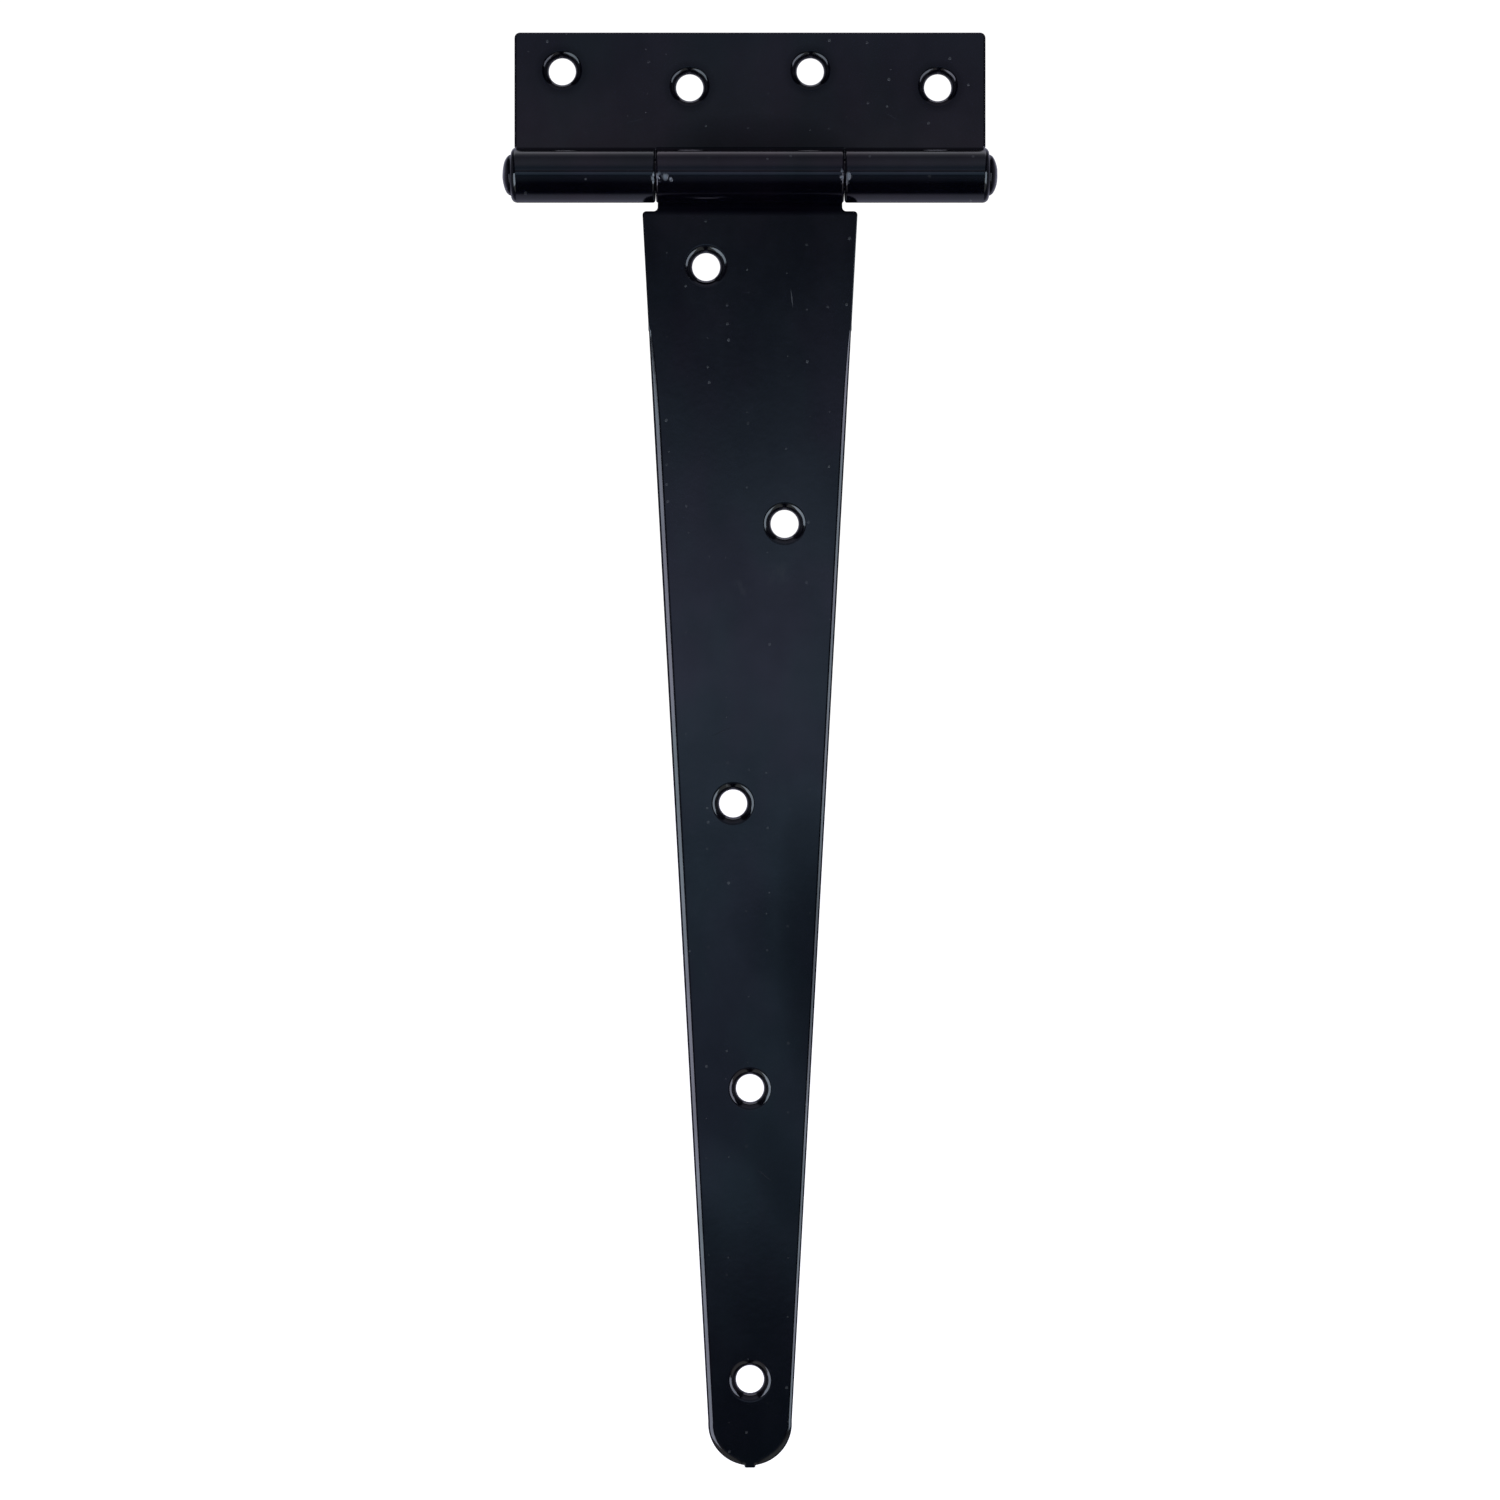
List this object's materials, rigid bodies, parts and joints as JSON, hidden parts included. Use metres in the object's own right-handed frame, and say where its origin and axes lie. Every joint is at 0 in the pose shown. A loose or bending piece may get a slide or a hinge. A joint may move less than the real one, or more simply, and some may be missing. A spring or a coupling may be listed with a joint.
{
  "type": "t hinge",
  "caption": "T-shaped surface hinge for a gate, shed or garage door: a wide screw-down cross leaf and a long tapered strap that swing on one riveted pin.",
  "frame": {"origin": "on the hinge pin's axis, in the middle of the barrel", "axes": "+X along the pin; +Z from the pin up to the cross leaf, with the strap hanging down along -Z; +Y from the front towards the flat back that screws to the door and its frame"},
  "size_m": [0.1168, 0.0129, 0.3396],
  "materials": {
    "black_paint": "semi-gloss near-black enamel over pressed steel, cool in tone, with a slight orange peel",
    "pin_paint": "the same enamel over hammered pin heads"
  },
  "bodies": {
    "leaf_and_pin": {"cross_leaf": "black_paint", "hinge_pin": "pin_paint"},
    "strap": {"strap": "black_paint"}
  },
  "joints": [
    {"name": "strap_swing", "type": "hinge", "parent": "leaf_and_pin", "child": "strap", "pos_m": [0, 0, 0], "axis": [-1, 0, 0], "range_deg": [-90, 180]}
  ]
}
